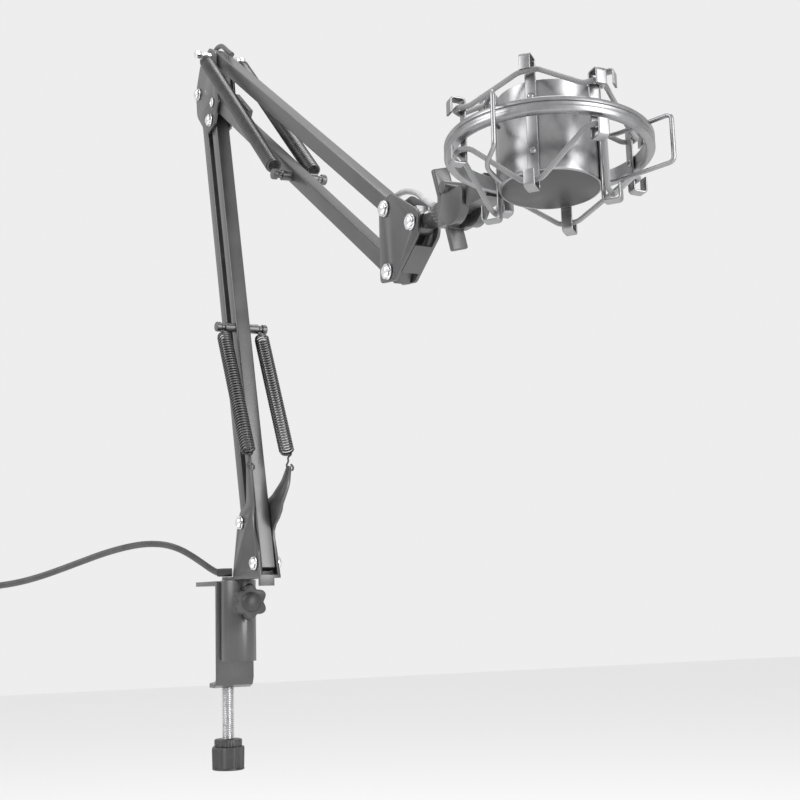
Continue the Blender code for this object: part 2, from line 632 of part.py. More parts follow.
def hook_strip_profile(inner_r, low_z, high_z, depth):
    """The centre line of a strip with a square hook at each end, as radius and height."""
    outer_r = inner_r + depth
    corner = HOOK_CORNER
    return rounded([(outer_r, low_z + HOOK_LIP, 0), (outer_r, low_z, corner), (inner_r, low_z, corner),
                    (inner_r, high_z, corner), (outer_r, high_z, corner), (outer_r, high_z - HOOK_LIP, 0)], 3)


def bent_strip(name, profile, width, thickness, angle, parent, recipe):
    """A flat strip bent along a radius and height profile, with rounded sides, at an angle."""
    bm = bmesh.new()
    rows = []
    for radius, height in profile:
        rows.append([bm.verts.new((radius, side * width / 2, height)) for side in (-1, 1)])
    for lower, upper in zip(rows, rows[1:]):
        bm.faces.new((lower[0], lower[1], upper[1], upper[0]))
    mesh = mesh_from(bm, name)
    piece = place(name, mesh, parent, recipe, turn=(0, 0, math.radians(angle)))
    solid = piece.modifiers.new("solidify", "SOLIDIFY")
    solid.thickness = thickness
    solid.offset = 0
    solid.use_even_offset = True
    return piece


def rivet(piece, radius, height, angle):
    """Join a rivet head to the outer face of a strip."""
    turn = Matrix.Rotation(math.radians(angle), 4, "Z")
    start = turn @ Vector((radius, 0, height))
    end = turn @ Vector((radius + 1.6 * MM, 0, height))
    join(piece, cylinder(1.9 * MM, start, end, 10, 1.3 * MM))


def elastic_route(inner_z, outer_z):
    """The closed path of an elastic cord through the hooks of both sets of strips."""
    points = []
    side = HOOK_STRIP_WIDTH / 2 + ELASTIC_RADIUS + 0.6 * MM
    inner_r, outer_r = SLEEVE_RADIUS + 4.6 * MM, OUTER_STRIP_R + 3.6 * MM
    for index in range(4):
        angle = math.radians(STRIP_A_ANGLE + 90 * index)
        turn = Matrix.Rotation(angle, 3, "Z")
        points += [turn @ Vector((inner_r, y, inner_z)) for y in (-side, side)]
        turn = Matrix.Rotation(angle + math.pi / 4, 3, "Z")
        behind = (OUTER_STRIP_R - 2.6 * MM, -side - 0.4 * MM), (outer_r, -side + 0.6 * MM), \
            (outer_r, side - 0.6 * MM), (OUTER_STRIP_R - 2.6 * MM, side + 0.4 * MM)
        points += [turn @ Vector((x, y, outer_z)) for x, y in behind]
    return points


def build_shock_mount():
    frame = frame_at("ring_frame", RING_CENTRE, turn=(RING_ROLL, RING_PITCH, 0))
    inner = RING_RADIUS - RING_WALL
    groove = 1.1 * MM
    mid = (RING_LOW_Z + RING_HIGH_Z) / 2
    turned("ring", [(inner, RING_HIGH_Z), (RING_RADIUS, RING_HIGH_Z), (RING_RADIUS, mid + 1.6 * MM),
                    (RING_RADIUS - groove, mid), (RING_RADIUS, mid - 1.6 * MM),
                    (RING_RADIUS, RING_LOW_Z), (inner, RING_LOW_Z), (inner, RING_HIGH_Z)],
           frame, GUNMETAL, sides=56)
    x, z = SWIVEL.x, SWIVEL.z
    half = SLOT_HALF_WIDTH - GAP
    block = place("ring_block", cylinder(DISC_RADIUS, (x, -half, z), (x, half, z), SIDES), None, BLACK_STEEL)
    join(block, box((x, -half, z - 5.5 * MM), (x + 16 * MM, half, z + 5.5 * MM)))
    join(block, box((x + 15 * MM, -8 * MM, z - 6.5 * MM), (x + 44 * MM, 8 * MM, z + 7 * MM)))
    cut(block, cylinder(RING_RADIUS + GAP, (0, 0, -40 * MM), (0, 0, 40 * MM), 56), frame)

    sleeve_in = SLEEVE_RADIUS - SLEEVE_WALL
    turned("sleeve", [(sleeve_in, SLEEVE_HIGH_Z), (SLEEVE_RADIUS, SLEEVE_HIGH_Z),
                      (SLEEVE_RADIUS, SLEEVE_LOW_Z + 0.5 * MM), (SLEEVE_RADIUS - 0.5 * MM, SLEEVE_LOW_Z),
                      (0, SLEEVE_LOW_Z), (0, SLEEVE_LOW_Z + 1.5 * MM), (sleeve_in, SLEEVE_LOW_Z + 1.5 * MM),
                      (sleeve_in, SLEEVE_HIGH_Z)], frame, GUNMETAL, sides=36)
    strip_r = SLEEVE_RADIUS + GAP + HOOK_STRIP_THICK / 2 + 0.1 * MM
    for index in range(4):
        angle = STRIP_A_ANGLE + 90 * index
        inner_strip = bent_strip(f"inner_strip_{index + 1}",
                                 hook_strip_profile(strip_r, -35.9 * MM, 35.4 * MM, 8.8 * MM),
                                 HOOK_STRIP_WIDTH, HOOK_STRIP_THICK, angle, frame, GUNMETAL)
        for height in (-14 * MM, 15.5 * MM):
            rivet(inner_strip, strip_r, height, angle)
        outer_strip = bent_strip(f"outer_strip_{index + 1}",
                                 hook_strip_profile(OUTER_STRIP_R, -18 * MM, 17.5 * MM, 7.5 * MM),
                                 HOOK_STRIP_WIDTH, HOOK_STRIP_THICK, angle + 45, frame, GUNMETAL)
        back = Matrix.Rotation(math.radians(angle + 45), 4, "Z")
        join(outer_strip, cylinder(1.9 * MM, back @ Vector((OUTER_STRIP_R, 0, mid)),
                                   back @ Vector((OUTER_STRIP_R - 1.6 * MM, 0, mid)), 10, 1.3 * MM))
    wire("elastic_top", elastic_route(28.4 * MM, 12.2 * MM), ELASTIC_RADIUS, frame, ELASTIC, cyclic=True)
    wire("elastic_bottom", elastic_route(-30.8 * MM, -10.8 * MM), ELASTIC_RADIUS, frame, ELASTIC, cyclic=True)


def build_handles():
    frame = frame_at("handle_frame", RING_CENTRE, turn=(RING_ROLL, RING_PITCH, 0))
    high = 5.5 * MM
    routes = {"squeeze_handle_right": (-20.2 * MM, [(13.5, 26.2), (17, 29.5), (24, 32.5), (49, 41.5)]),
              "squeeze_handle_left": (-24.3 * MM, [(-1.5, -29.0), (2, -34), (9, -42.5), (16, -47), (33, -53)])}
    for name, (low, plan) in routes.items():
        upper = [Vector((x, y, high / MM)) * MM for x, y in plan]
        lower = [Vector((x, y, low / MM)) * MM for x, y in plan]
        corner = (upper[-1] - upper[-2]).normalized() * 2 * MM
        points = [*upper[:-1], upper[-1] - corner, upper[-1] - Vector((0, 0, 2 * MM)),
                  lower[-1] + Vector((0, 0, 2 * MM)), lower[-1] - corner, *reversed(lower[:-1])]
        wire(name, points, HANDLE_WIRE, frame, GUNMETAL)


def cord_route():
    """The free lead from the base to its coil: distance run and height above the desk."""
    heights = [(0, 9.9), (5, 12.6), (12, 17.6), (19.5, 22.8), (28, 27.8), (37, 31.2), (46, 32.8), (58, 32.8),
               (72, 30.6), (88, 26.4), (104, 21), (120, 15.4), (136, 10.2), (152, 6.2), (168, 3.8),
               (184, 2.8), (202, 2.7), (219.5, 2.7)]
    return [CORD_EXIT + CORD_LEFT * run * MM + Vector((0, 0, height * MM - CORD_EXIT.z))
            for run, height in heights]


def build_cord():
    grommet_end = CORD_EXIT - CORD_LEFT * 1.8 * MM
    start = CORD_EXIT - CORD_LEFT * 11 * MM
    grommet = place("cord_grommet", cylinder(3.2 * MM, start, grommet_end, 20, 2.7 * MM), None, BLACK_PLASTIC)
    smooth(grommet.data)
    points = smooth_route(cord_route(), 7.5 * MM)
    split = next(index for index, point in enumerate(points)
                 if (point - Vector((TUBE_X, 0, point.z))).length > 46 * MM)
    run = (points[split] - points[split - 1]).normalized()
    wire("cord_near", [*points[:split], points[split] - run * GAP], CORD_RADIUS, None, CABLE)
    wire("cord_far", points[split:], CORD_RADIUS, None, CABLE)

    centre = CORD_EXIT + CORD_LEFT * COIL_AT + CORD_AWAY * COIL_RADIUS
    centre.z = 0.2 * MM
    half = COIL_BUNDLE / 2
    turned("cord_coil", [(COIL_RADIUS - half + 2 * MM, COIL_BUNDLE),
                         (COIL_RADIUS + half - 2 * MM, COIL_BUNDLE),
                         (COIL_RADIUS + half, COIL_BUNDLE - 2 * MM), (COIL_RADIUS + half, 2 * MM),
                         (COIL_RADIUS + half - 2 * MM, 0), (COIL_RADIUS - half + 2 * MM, 0),
                         (COIL_RADIUS - half, 2 * MM), (COIL_RADIUS - half, COIL_BUNDLE - 2 * MM),
                         (COIL_RADIUS - half + 2 * MM, COIL_BUNDLE)], None, CABLE, centre, sides=28)
    plug_radius = 9.3 * MM
    start = centre + CORD_LEFT * (COIL_RADIUS + half + plug_radius + 2 * MM) - CORD_AWAY * 20 * MM
    start.z = plug_radius + 0.3 * MM
    turn = CORD_AWAY.to_track_quat("Z", "Y").to_euler()
    turned("cord_plug", [(0, 92 * MM), (8.4 * MM, 92 * MM), (8.4 * MM, 68 * MM), (plug_radius, 67 * MM),
                         (plug_radius, 30 * MM), (7.5 * MM, 26 * MM), (6 * MM, 22 * MM), (3.6 * MM, 0),
                         (0, 0)], None, ZINC, start, turn)


def cable_arch(name, knots, parent):
    wire(name, smooth_route([Vector(knot) * MM for knot in knots], 4 * MM), 2 * MM, parent, CABLE)


def build_held_cables():
    """The lead where it crosses from bar to bar at the elbow and from bar to rod at the head."""
    cable_arch("elbow_cable", [(-36, 3, 430), (-33.5, 2.6, 441), (-25.5, 2.5, 449), (-13.5, 2.5, 448.2),
                               (-5, 2.5, 443.4), (0.6, 2.5, 439.4), (12.1, 2.5, 431.8)], None)
    cable_arch("head_cable", [(282, 8.6, 240), (290, 8.8, 241.6), (299, 8.8, 241), (309, 8.6, 238.2),
                              (318, 7.5, 234.5), (327, 5, 229.9), (337, 3.2, 224.4), (348, 2.2, 218.8)], None)


PARTS = None
CUTTERS = None
LOWER_ALONG = Vector((-math.sin(LOWER_LEAN), 0, math.cos(LOWER_LEAN)))
UPPER_ALONG = Vector((math.cos(UPPER_FALL), 0, -math.sin(UPPER_FALL)))
ELBOW_REAR = BASE_REAR + LOWER_LENGTH * LOWER_ALONG
ELBOW_FRONT = BASE_FRONT + LOWER_LENGTH * LOWER_ALONG
ELBOW_TOP = ELBOW_REAR + ELBOW_TOP_OFFSET
ELBOW_MIDDLE = ELBOW_REAR + ELBOW_MIDDLE_OFFSET
HEAD_TOP = ELBOW_TOP + UPPER_LENGTH * UPPER_ALONG
HEAD_LOW = ELBOW_MIDDLE + UPPER_LENGTH * UPPER_ALONG
OUTER_STRIP_R = RING_RADIUS - RING_WALL - HOOK_STRIP_THICK / 2 - GAP


def main():
    global PARTS, CUTTERS
    clear_scene()
    PARTS = make_collection("boom_arm")
    CUTTERS = make_collection("cutters")
    build_clamp()
    build_clamp_screw()
    build_lock_knob()
    build_base()
    build_lower_arm()
    build_elbow()
    build_upper_arm()
    build_head()
    build_rod()
    build_t_handle()
    build_swivel()
    build_shock_mount()
    build_handles()
    build_cord()
    build_held_cables()


main()
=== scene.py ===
"""The look of a desk-clamped microphone boom arm with a spider shock mount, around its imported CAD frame.

Lengths in the tables below are in millimetres; mm() turns them into metres.
"""
import json
import math

import bmesh
import bpy
from mathutils import Matrix, Vector


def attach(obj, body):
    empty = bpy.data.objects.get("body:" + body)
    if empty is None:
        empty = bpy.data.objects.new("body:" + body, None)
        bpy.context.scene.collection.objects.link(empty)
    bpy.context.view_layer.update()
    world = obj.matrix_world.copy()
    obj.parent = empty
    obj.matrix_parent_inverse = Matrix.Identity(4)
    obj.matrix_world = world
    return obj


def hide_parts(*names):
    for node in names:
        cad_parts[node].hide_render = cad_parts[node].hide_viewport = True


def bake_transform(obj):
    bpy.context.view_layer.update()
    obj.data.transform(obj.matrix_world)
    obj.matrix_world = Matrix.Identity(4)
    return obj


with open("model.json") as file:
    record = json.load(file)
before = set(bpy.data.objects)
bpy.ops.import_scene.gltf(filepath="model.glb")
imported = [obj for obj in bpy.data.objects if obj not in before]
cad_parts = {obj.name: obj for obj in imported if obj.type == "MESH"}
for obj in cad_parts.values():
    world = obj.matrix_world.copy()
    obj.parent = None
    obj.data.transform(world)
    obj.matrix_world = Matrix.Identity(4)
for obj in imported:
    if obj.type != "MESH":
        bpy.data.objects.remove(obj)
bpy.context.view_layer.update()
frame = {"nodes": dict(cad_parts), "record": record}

MM = 0.001


def mm(*values):
    return Vector(values) * MM


# Places, from the record's joints
JOINTS = {joint["name"]: joint for joint in frame["record"]["behaviour"]["joints"]}


def pivot(name):
    return Vector(JOINTS[name]["pos_m"])


BASE_FRONT = pivot("lower_swing")
BASE_REAR = pivot("lower_rear_swing")
ELBOW_FRONT = pivot("elbow_level")
ELBOW_MIDDLE = pivot("upper_swing")
ELBOW_TOP = pivot("upper_top_swing")
HEAD_LOW = pivot("head_level")
TILT_AXIS = pivot("rod_tilt")
LOCK_AXIS = pivot("lock_knob_turn")
RING_CENTRE = pivot("squeeze_right_turn")
LOWER_ALONG = (ELBOW_FRONT - BASE_FRONT).normalized()
UPPER_ALONG = (HEAD_LOW - ELBOW_MIDDLE).normalized()
LOWER_LENGTH = (ELBOW_FRONT - BASE_FRONT).length
UPPER_LENGTH = (HEAD_LOW - ELBOW_MIDDLE).length
ELBOW_REAR = BASE_REAR + LOWER_ALONG * LOWER_LENGTH
HEAD_TOP = ELBOW_TOP + UPPER_ALONG * UPPER_LENGTH
CROSSBAR_AT = 190 * MM
LOWER_ANCHOR = mm(93, 0, 85)
SPRING_Y = 15.5 * MM
RING_TURN = Matrix.Rotation(math.radians(-6.3), 4, "Y") @ Matrix.Rotation(math.radians(-3.8), 4, "X")
RING_FRAME = Matrix.Translation(RING_CENTRE) @ RING_TURN
RING_RADIUS = 54.2
SLEEVE_RADIUS = 26.7
OUTER_STRIP_R = 48.3
STRIP_A_ANGLE = -50
STRIP_WIDTH = 6
STRIP_THICKNESS = 1.2
ELASTIC_RADIUS = 1.4
HANDLE_WIRE_RADIUS = 1.2
BAR_HALF_DEPTH = 5.3
BAR_HALF_WIDTH = 5.7
BOLT_REACH = 8.3
SCREW_PITCH = 1.5
CAMERA_PLACE = mm(1088.8, -407.9, -14)
CAMERA_LENS = 65.6
CAMERA_YAW, CAMERA_PITCH, CAMERA_ROLL = (math.radians(turn) for turn in (27.405, 7.807, 1.299))
FLOOR_Z = -0.42
WORLD_STRENGTH = 0.85


# Camera

def add_camera():
    data = bpy.data.cameras.new("camera")
    camera = bpy.data.objects.new("camera", data)
    bpy.context.scene.collection.objects.link(camera)
    bpy.context.scene.camera = camera
    data.lens = CAMERA_LENS
    data.sensor_width = 36
    data.clip_end = 20
    forward = Vector((-math.cos(CAMERA_YAW) * math.cos(CAMERA_PITCH),
                      math.sin(CAMERA_YAW) * math.cos(CAMERA_PITCH), math.sin(CAMERA_PITCH)))
    turn = forward.to_track_quat("-Z", "Y").to_matrix().to_4x4()
    camera.matrix_world = Matrix.Translation(CAMERA_PLACE) @ turn @ Matrix.Rotation(-CAMERA_ROLL, 4, "Z")


add_camera()


# Materials

def new_material(name, colour, roughness, metallic):
    material = bpy.data.materials.new(name)
    material.use_nodes = True
    shader = material.node_tree.nodes["Principled BSDF"]
    shader.inputs["Base Color"].default_value = (*colour, 1)
    shader.inputs["Roughness"].default_value = roughness
    shader.inputs["Metallic"].default_value = metallic
    return material, material.node_tree.nodes, material.node_tree.links, shader


def coordinates(nodes, links, stretch=(1, 1, 1)):
    place = nodes.new("ShaderNodeTexCoord")
    mapping = nodes.new("ShaderNodeMapping")
    mapping.inputs["Scale"].default_value = stretch
    links.new(place.outputs["Object"], mapping.inputs["Vector"])
    return mapping.outputs["Vector"]


def noise_node(nodes, links, vector, scale, detail=3):
    node = nodes.new("ShaderNodeTexNoise")
    node.inputs["Scale"].default_value = scale
    node.inputs["Detail"].default_value = detail
    links.new(vector, node.inputs["Vector"])
    return node.outputs["Fac"]


def vary(nodes, links, value, low, high, target):
    """Drive a socket between two values from a texture."""
    spread = nodes.new("ShaderNodeMapRange")
    spread.inputs["From Min"].default_value = 0.3
    spread.inputs["From Max"].default_value = 0.7
    spread.inputs["To Min"].default_value = low
    spread.inputs["To Max"].default_value = high
    links.new(value, spread.inputs["Value"])
    links.new(spread.outputs["Result"], target)


def tint(nodes, links, value, dark, light, target):
    ramp = nodes.new("ShaderNodeValToRGB")
    ramp.color_ramp.elements[0].position = 0.3
    ramp.color_ramp.elements[0].color = (*dark, 1)
    ramp.color_ramp.elements[1].position = 0.7
    ramp.color_ramp.elements[1].color = (*light, 1)
    links.new(value, ramp.inputs["Fac"])
    links.new(ramp.outputs["Color"], target)


def bump(nodes, links, value, distance, shader, strength=1.0):
    node = nodes.new("ShaderNodeBump")
    node.inputs["Distance"].default_value = distance
    node.inputs["Strength"].default_value = strength
    links.new(value, node.inputs["Height"])
    links.new(node.outputs["Normal"], shader.inputs["Normal"])


def grey(value):
    return (value, value, value * 1.02)


def coated_steel():
    """Satin black powder coat with a fine orange peel and faint handling marks."""
    material, nodes, links, shader = new_material("coated_steel", grey(0.03), 0.36, 0.0)
    shader.inputs["Specular IOR Level"].default_value = 0.85
    shader.inputs["Coat Weight"].default_value = 0.25
    shader.inputs["Coat Roughness"].default_value = 0.22
    vector = coordinates(nodes, links)
    marks = noise_node(nodes, links, vector, 45, 6)
    tint(nodes, links, marks, grey(0.018), grey(0.036), shader.inputs["Base Color"])
    vary(nodes, links, marks, 0.3, 0.42, shader.inputs["Roughness"])
    bump(nodes, links, noise_node(nodes, links, vector, 1400, 2), 0.00003, shader, 0.5)
    return material


def plated(name, value, low, high):
    """Bright plating whose gloss varies a little, with fine polishing lines."""
    material, nodes, links, shader = new_material(name, grey(value), low, 1.0)
    vector = coordinates(nodes, links)
    marks = noise_node(nodes, links, vector, 160, 5)
    tint(nodes, links, marks, grey(value * 0.88), grey(value * 1.08), shader.inputs["Base Color"])
    vary(nodes, links, marks, low, high, shader.inputs["Roughness"])
    lines = coordinates(nodes, links, (60, 60, 900))
    bump(nodes, links, noise_node(nodes, links, lines, 6, 2), 0.000012, shader, 0.35)
    return material


def plastic():
    material, nodes, links, shader = new_material("moulded_plastic", grey(0.028), 0.42, 0.0)
    vector = coordinates(nodes, links)
    marks = noise_node(nodes, links, vector, 90, 4)
    tint(nodes, links, marks, grey(0.02), grey(0.036), shader.inputs["Base Color"])
    vary(nodes, links, marks, 0.36, 0.5, shader.inputs["Roughness"])
    bump(nodes, links, noise_node(nodes, links, vector, 2600, 2), 0.00005, shader, 0.5)
    return material


def braid():
    """Woven cover of the elastic cords."""
    material, nodes, links, shader = new_material("braided_elastic", grey(0.18), 0.5, 0.0)
    shader.inputs["Sheen Weight"].default_value = 0.35
    vector = coordinates(nodes, links)
    wave = nodes.new("ShaderNodeTexWave")
    wave.inputs["Scale"].default_value = 330
    wave.inputs["Distortion"].default_value = 1.2
    wave.bands_direction = "DIAGONAL"
    links.new(vector, wave.inputs["Vector"])
    tint(nodes, links, wave.outputs["Fac"], grey(0.15), grey(0.2), shader.inputs["Base Color"])
    bump(nodes, links, wave.outputs["Fac"], 0.00006, shader, 0.4)
    return material


def jacket(name, value):
    material, nodes, links, shader = new_material(name, grey(value), 0.34, 0.0)
    shader.inputs["Coat Weight"].default_value = 0.3
    shader.inputs["Coat Roughness"].default_value = 0.3
    vector = coordinates(nodes, links)
    marks = noise_node(nodes, links, vector, 120, 4)
    tint(nodes, links, marks, grey(value * 0.8), grey(value * 1.25), shader.inputs["Base Color"])
    vary(nodes, links, marks, 0.3, 0.42, shader.inputs["Roughness"])
    bump(nodes, links, noise_node(nodes, links, vector, 900, 2), 0.00003, shader, 0.4)
    return material


STEEL = coated_steel()
CHROME = plated("chrome_plate", 0.8, 0.08, 0.18)
ZINC = plated("zinc_plate", 0.55, 0.22, 0.36)
NICKEL = plated("dark_nickel", 0.29, 0.3, 0.4)
SPRING = plated("spring_wire", 0.11, 0.28, 0.4)
PLASTIC = plastic()
ELASTIC = braid()
JACKET = jacket("cable_jacket", 0.045)
# A lighter copy of the cable jacket: its pale grey is painted reflection, the sheen of the cable loop put
# into the colour.
PAINTED_REFLECTION_JACKET = jacket("cable_jacket_painted_reflection", 0.42)


# Mesh tools

def finish_mesh(bm, name, angle=35):
    bmesh.ops.recalc_face_normals(bm, faces=bm.faces)
    mesh = bpy.data.meshes.new(name)
    bm.to_mesh(mesh)
    bm.free()
    mesh.shade_smooth()
    mesh.set_sharp_from_angle(angle=math.radians(angle))
    return mesh


def piece(name, mesh, material, body, *stands_for, matrix=None, blend=None):
    """Add a mesh to the object, on a body, or, when blend is given, baked in place on no body."""
    obj = bpy.data.objects.new(name, mesh)
    bpy.context.scene.collection.objects.link(obj)
    if matrix:
        mesh.transform(matrix)
    mesh.materials.append(material)
    if blend:
        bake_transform(obj)
    else:
        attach(obj, body)
    if stands_for:
        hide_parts(*stands_for)
    return obj


def tube(name, points, radius, sides=12, cyclic=False):
    """A round tube along points, without twist."""
    points = [Vector(point) for point in points]
    count = len(points)
    tangents = []
    for index in range(count):
        ahead = points[(index + 1) % count] if cyclic else points[min(index + 1, count - 1)]
        behind = points[index - 1] if cyclic or index else points[0]
        tangents.append((ahead - behind).normalized())
    side = tangents[0].orthogonal().normalized()
    bm = bmesh.new()
    rings = []
    for point, tangent in zip(points, tangents):
        side = (side - tangent * side.dot(tangent)).normalized()
        other = tangent.cross(side)
        ring = []
        for step in range(sides):
            angle = math.tau * step / sides
            ring.append(bm.verts.new(point + (side * math.cos(angle) + other * math.sin(angle)) * radius))
        rings.append(ring)
    pairs = list(zip(rings, rings[1:]))
    for first, second in pairs:
        for step in range(sides):
            after = (step + 1) % sides
            bm.faces.new((first[step], first[after], second[after], second[step]))
    if cyclic:
        first, second = rings[-1], rings[0]
        offset = min(range(sides), key=lambda k: (second[k].co - first[0].co).length)
        for step in range(sides):
            after = (step + 1) % sides
            bm.faces.new((first[step], first[after], second[(after + offset) % sides],
                          second[(step + offset) % sides]))
    else:
        bm.faces.new(rings[0])
        bm.faces.new(rings[-1])
    return finish_mesh(bm, name)


def curve_through(knots, spacing):
    """Evenly spaced points on a Catmull-Rom curve through the knots."""
    knots = [Vector(knot) for knot in knots]
    padded = [2 * knots[0] - knots[1], *knots, 2 * knots[-1] - knots[-2]]
    dense = []
    fine = 24
    for a, b, c, d in zip(padded, padded[1:], padded[2:], padded[3:]):
        for step in range(fine):
            t = step / fine
            dense.append(0.5 * (2 * b + (c - a) * t + (2 * a - 5 * b + 4 * c - d) * t * t
                                + (3 * b - a - 3 * c + d) * t ** 3))
    dense.append(knots[-1])
    points = [dense[0]]
    walked = 0.0
    for before, after in zip(dense, dense[1:]):
        walked += (after - before).length
        if walked >= spacing:
            points.append(after)
            walked = 0.0
    if (points[-1] - dense[-1]).length < spacing / 3:
        points.pop()
    points.append(dense[-1])
    return points


def fillet(knots, radius, steps=6):
    """A path through corners, each rounded to a radius."""
    path = [Vector(knots[0])]
    for before, here, after in zip(knots, knots[1:], knots[2:]):
        here = Vector(here)
        back, ahead = (Vector(before) - here), (Vector(after) - here)
        reach = min(radius, back.length * 0.45, ahead.length * 0.45)
        start, end = here + back.normalized() * reach, here + ahead.normalized() * reach
        for step in range(steps + 1):
            t = step / steps
            path.append(start * (1 - t) ** 2 + here * 2 * t * (1 - t) + end * t * t)
    path.append(Vector(knots[-1]))
    return path


def turned(name, profile, sides=64, shape=None, angle=35):
    """A turned solid about Z. Profile is in millimetres; shape may change a radius by angle and height."""
    bm = bmesh.new()
    rows = []
    for radius, height in profile:
        if radius == 0:
            rows.append([bm.verts.new((0, 0, height * MM))] * sides)
            continue
        row = []
        for step in range(sides):
            turn = math.tau * step / sides
            r = shape(radius, height, turn) if shape else radius
            row.append(bm.verts.new((r * math.cos(turn) * MM, r * math.sin(turn) * MM, height * MM)))
        rows.append(row)
    for upper, lower in zip(rows, rows[1:]):
        for step in range(sides):
            after = (step + 1) % sides
            corners = [upper[step], upper[after], lower[after], lower[step]]
            distinct = list(dict.fromkeys(corners))
            if len(distinct) > 2:
                bm.faces.new(distinct)
    bmesh.ops.remove_doubles(bm, verts=bm.verts, dist=1e-7)
    return finish_mesh(bm, name, angle)


def rounded_box(name, low, high, radius, segments=4):
    """A box in millimetres whose edges are all rounded."""
    low, high = mm(*low), mm(*high)
    bm = bmesh.new()
    bmesh.ops.create_cube(bm, size=1, matrix=Matrix.Translation((low + high) / 2)
                          @ Matrix.Diagonal((*(high - low), 1)))
    bmesh.ops.bevel(bm, geom=bm.edges[:], offset=radius * MM, segments=segments, profile=0.5,
                    affect="EDGES", clamp_overlap=True)
    return finish_mesh(bm, name)


def merged(name, *meshes):
    bm = bmesh.new()
    for mesh in meshes:
        bm.from_mesh(mesh)
        bpy.data.meshes.remove(mesh)
    mesh = bpy.data.meshes.new(name)
    bm.to_mesh(mesh)
    bm.free()
    mesh.set_sharp_from_angle(angle=math.radians(35))
    return mesh


def pointing(start, along):
    """A frame at start whose Z runs along a direction and whose Y is the world's."""
    z = Vector(along).normalized()
    y = (Vector((0, 1, 0)) - z * z.y).normalized() if abs(z.y) < 0.99 else Vector((0, 0, 1))
    x = y.cross(z)
    turn = Matrix((x, y, z)).transposed().to_4x4()
    return Matrix.Translation(start) @ turn


# The free lead

CORD_DIAMETER = 5 * MM
CORD_LEFT = Vector((-0.46, -0.888, 0)).normalized()
CORD_AWAY = Vector((-0.888, 0.46, 0)).normalized()
CORD_EXIT = mm(21.8, -15.8, 9.9)
COIL_AT = 245
COIL_MIDDLE = 27.5
TURN_GAP = 5.2
CORD_RUN = [(0, 9.9), (5, 12.6), (12, 17.6), (19.5, 22.8), (28, 27.8), (37, 31.2), (46, 32.8), (58, 32.8),
            (72, 30.6), (88, 26.4), (104, 21), (120, 15.4), (136, 10.2), (152, 6.2), (168, 3.8),
            (184, 2.8), (202, 2.7), (218, 2.7)]


def ease(value, start, end):
    t = min(1.0, max(0.0, (value - start) / (end - start)))
    return t * t * (3 - 2 * t)


def coil_place(turn):
    """Radius and height in the coil, in millimetres, at an angle in degrees along its path.

    The turns go up the outside, down the middle and up the inside, one column after another.
    """
    low, inner = 2.7, COIL_MIDDLE - TURN_GAP
    radius = inner + 2 * TURN_GAP - TURN_GAP * (ease(turn, 920, 980) + ease(turn, 1840, 1900))
    height = low + TURN_GAP * (ease(turn, 280, 340) + ease(turn, 640, 700) - ease(turn, 1200, 1260)
                               - ease(turn, 1560, 1620) + ease(turn, 2120, 2180) + ease(turn, 2480, 2540))
    return radius, height


COIL_LEAVES = 2805
COIL_TAIL = [(15, 22.5, 14.7), (30, 23.7, 16.8), (45, 26.2, 18.2), (60, 29.2, 18.5), (75, 32.4, 18.4),
             (90, 35.6, 17.7), (105, 38.8, 15.3), (120, 41.8, 12.6), (135, 44.6, 10.5), (150, 47, 9.6)]


def cord_path():
    run = [CORD_EXIT + CORD_LEFT * d * MM + Vector((0, 0, z * MM - CORD_EXIT.z)) for d, z in CORD_RUN]
    centre = CORD_EXIT + CORD_LEFT * COIL_AT * MM + CORD_AWAY * COIL_MIDDLE * MM
    centre.z = 0

    def around(angle, radius, height):
        a = math.radians(angle)
        flat = CORD_LEFT * math.sin(a) - CORD_AWAY * math.cos(a)
        return centre + flat * radius * MM + Vector((0, 0, height * MM))

    coil = [around(turn, *coil_place(turn)) for turn in range(0, COIL_LEAVES + 1, 12)]
    tail = [around(COIL_LEAVES + turn, radius, height) for turn, radius, height in COIL_TAIL]
    # The path leaves the run two points early, to swing smoothly into the coil's outer turn
    return curve_through([*run[:-2], *coil, *tail], 3.2 * MM)


def make_lead():
    points = cord_path()
    mesh = tube("microphone_lead", points, CORD_DIAMETER / 2, 12)
    start, end = CORD_EXIT, CORD_EXIT + CORD_LEFT * 34 * MM
    lead = piece("microphone_lead", mesh, JACKET, None, "cord_near", "cord_far", "cord_coil",
                 blend=("base", "clamp", start, end))


make_lead()


def make_grommet():
    """The moulded sleeve that the lead comes out of."""
    profile = [(0, -11), (2.9, -11), (3.2, -10.6), (3.2, -4), (3.05, -0.6), (2.9, 0.4), (0, 0.4)]
    mesh = turned("grommet", profile, 32)
    piece("cord_grommet_sleeve", mesh, PLASTIC, "base", "cord_grommet", matrix=pointing(CORD_EXIT, CORD_LEFT))


make_grommet()


# Arm

def make_bar(name, start, along, length, tail, nose, body):
    low = (-BAR_HALF_DEPTH, -BAR_HALF_WIDTH, -tail)
    high = (BAR_HALF_DEPTH, BAR_HALF_WIDTH, length / MM + nose)
    mesh = rounded_box(name, low, high, 1.0)
    piece(f"{name}_tube", mesh, STEEL, body, name, matrix=pointing(start, along))


